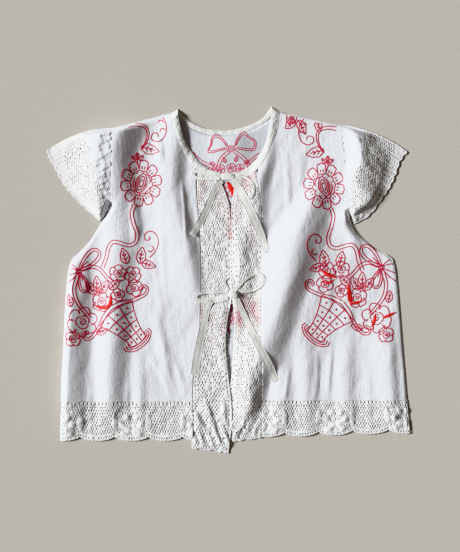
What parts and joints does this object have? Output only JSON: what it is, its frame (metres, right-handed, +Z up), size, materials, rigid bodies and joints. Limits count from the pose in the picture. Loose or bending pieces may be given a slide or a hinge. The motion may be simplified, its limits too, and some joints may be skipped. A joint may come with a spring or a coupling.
{
  "type": "embroidered blouse",
  "caption": "Short white cotton blouse laid flat, front up, with flutter sleeves, crochet lace at sleeves, front edges and hem, tape bows and red outline embroidery.",
  "frame": {"origin": "on the surface under the middle of the outline", "axes": "+Z up off the surface, out of the blouse's front; +Y from hem to neck; +X to the wearer's left"},
  "size_m": [0.5452, 0.521, 0.0213],
  "materials": {
    "cotton": "plain woven, matt",
    "crochet_lace": "crochet cotton, matt",
    "tape": "off-white cotton tape, matt"
  },
  "bodies": {
    "root": {"back_panel": "cotton", "right_front": "cotton", "left_front": "cotton", "right_sleeve_front": "cotton", "left_sleeve_front": "cotton", "right_sleeve_back": "cotton", "left_sleeve_back": "cotton", "right_front_lace": "crochet_lace", "left_front_lace": "crochet_lace", "right_hem_lace": "crochet_lace", "left_hem_lace": "crochet_lace", "back_hem_lace": "crochet_lace", "right_sleeve_lace_front": "crochet_lace", "left_sleeve_lace_front": "crochet_lace", "right_sleeve_lace_back": "crochet_lace", "left_sleeve_lace_back": "crochet_lace", "right_neck_binding": "tape", "left_neck_binding": "tape", "back_neck_binding": "tape", "neck_bow_knot": "tape", "neck_bow_right_tail": "tape", "neck_bow_left_tail": "tape", "neck_bow_left_loop": "tape", "neck_bow_right_loop": "tape", "waist_bow_knot": "tape", "waist_bow_right_tail": "tape", "waist_bow_left_tail": "tape", "waist_bow_right_loop": "tape", "waist_bow_left_loop": "tape", "waist_bow_small_loop": "tape"}
  },
  "joints": []
}
